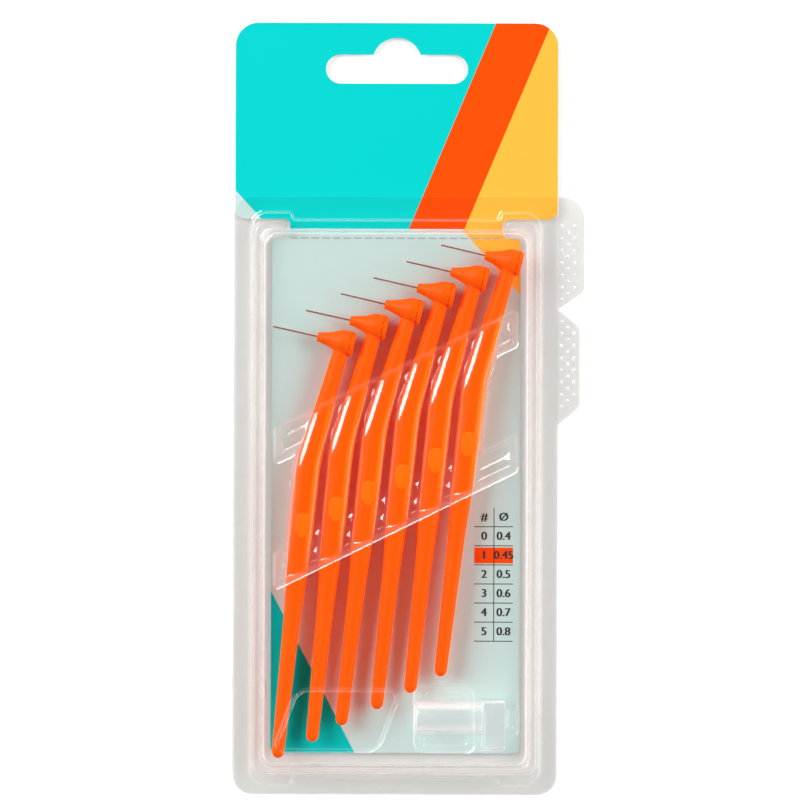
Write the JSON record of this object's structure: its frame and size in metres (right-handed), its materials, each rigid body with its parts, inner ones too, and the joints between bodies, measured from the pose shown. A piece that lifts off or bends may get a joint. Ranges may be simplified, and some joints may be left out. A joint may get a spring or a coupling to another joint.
{
  "type": "interdental brush pack",
  "caption": "Hinged clear hang pack with a printed header card, holding angled interdental brushes with bent handles and a loose clear travel cap.",
  "frame": {"origin": "on the back sheet's outer face, in the middle of the clear pack's width and about halfway up it", "axes": "+X to the right as seen from the front, +Y up towards the hang slot, +Z out of the front"},
  "size_m": [0.0788, 0.1737, 0.0105],
  "materials": {
    "clear_sheet": "clear formed sheet with a light sheen",
    "printed_card": "coated printed card",
    "brush_orange": "satin moulded plastic",
    "steel_wire": "twisted fine wire",
    "filaments": "fine pale filaments",
    "cap_clear": "clear moulded plastic"
  },
  "bodies": {
    "tray": {"back_shell": "clear_sheet", "card": "printed_card", "cap": "cap_clear", "handle_1": "brush_orange", "head_plug_1": "brush_orange", "wire_1": "steel_wire", "bristles_1": "filaments", "handle_2": "brush_orange", "head_plug_2": "brush_orange", "wire_2": "steel_wire", "bristles_2": "filaments", "handle_3": "brush_orange", "head_plug_3": "brush_orange", "wire_3": "steel_wire", "bristles_3": "filaments", "handle_4": "brush_orange", "head_plug_4": "brush_orange", "wire_4": "steel_wire", "bristles_4": "filaments", "handle_5": "brush_orange", "head_plug_5": "brush_orange", "wire_5": "steel_wire", "bristles_5": "filaments", "handle_6": "brush_orange", "head_plug_6": "brush_orange", "wire_6": "steel_wire", "bristles_6": "filaments"},
    "lid": {"front_shell": "clear_sheet"}
  },
  "joints": [
    {"name": "lid_hinge", "type": "hinge", "parent": "tray", "child": "lid", "pos_m": [-0.0365, 0, 0.00042], "axis": [0, -1, 0], "range_deg": [0, 120]}
  ]
}
